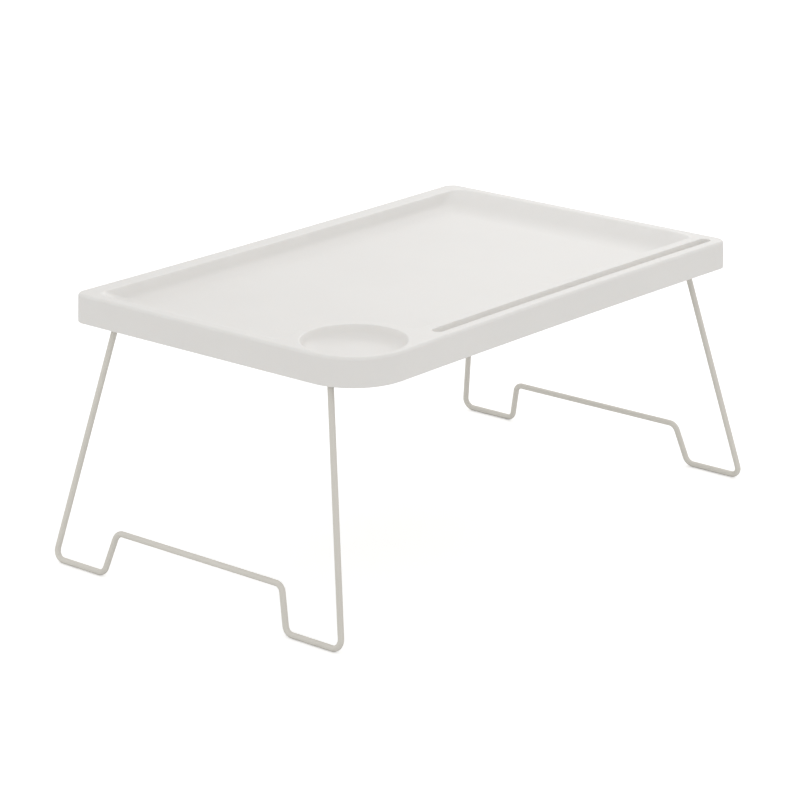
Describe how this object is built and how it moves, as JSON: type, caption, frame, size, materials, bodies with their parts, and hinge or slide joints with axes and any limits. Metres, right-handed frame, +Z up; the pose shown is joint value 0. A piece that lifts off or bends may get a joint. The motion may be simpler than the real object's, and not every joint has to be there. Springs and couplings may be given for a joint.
{
  "type": "folding bed tray table",
  "caption": "White moulded lap tray with a cup recess and a tablet slot, on bent wire leg frames that fold flat under it.",
  "frame": {"origin": "on the floor under the middle of the tray", "axes": "+X along the tray's long side, -Y towards the long side with the tablet slot, +Z up"},
  "size_m": [0.6258, 0.3656, 0.26],
  "materials": {
    "tray_plastic": "satin, warm white injection-moulded polypropylene with a very fine grain",
    "wire_coating": "satin warm grey powder coat on steel wire",
    "bracket_plastic": "satin moulded plastic, a shade greyer than the tray",
    "screw_steel": "zinc-plated self-tapping screws"
  },
  "bodies": {
    "tray": {"tray": "tray_plastic", "leg_bracket_near_left": "bracket_plastic", "leg_bracket_near_right": "bracket_plastic", "leg_bracket_far_left": "bracket_plastic", "leg_bracket_far_right": "bracket_plastic", "bracket_screw_near_left_1": "screw_steel", "bracket_screw_near_left_2": "screw_steel", "bracket_screw_near_right_1": "screw_steel", "bracket_screw_near_right_2": "screw_steel", "bracket_screw_far_left_1": "screw_steel", "bracket_screw_far_left_2": "screw_steel", "bracket_screw_far_right_1": "screw_steel", "bracket_screw_far_right_2": "screw_steel"},
    "leg_left": {"wire_leg_left": "wire_coating"},
    "leg_right": {"wire_leg_right": "wire_coating"}
  },
  "joints": [
    {"name": "fold_left_legs", "type": "hinge", "parent": "tray", "child": "leg_left", "pos_m": [-0.2667, 0, 0.24], "axis": [0, -1, 0], "range_deg": [0, 96.5]},
    {"name": "fold_right_legs", "type": "hinge", "parent": "tray", "child": "leg_right", "pos_m": [0.2667, 0, 0.24], "axis": [0, 1, 0], "range_deg": [0, 96.5]}
  ]
}
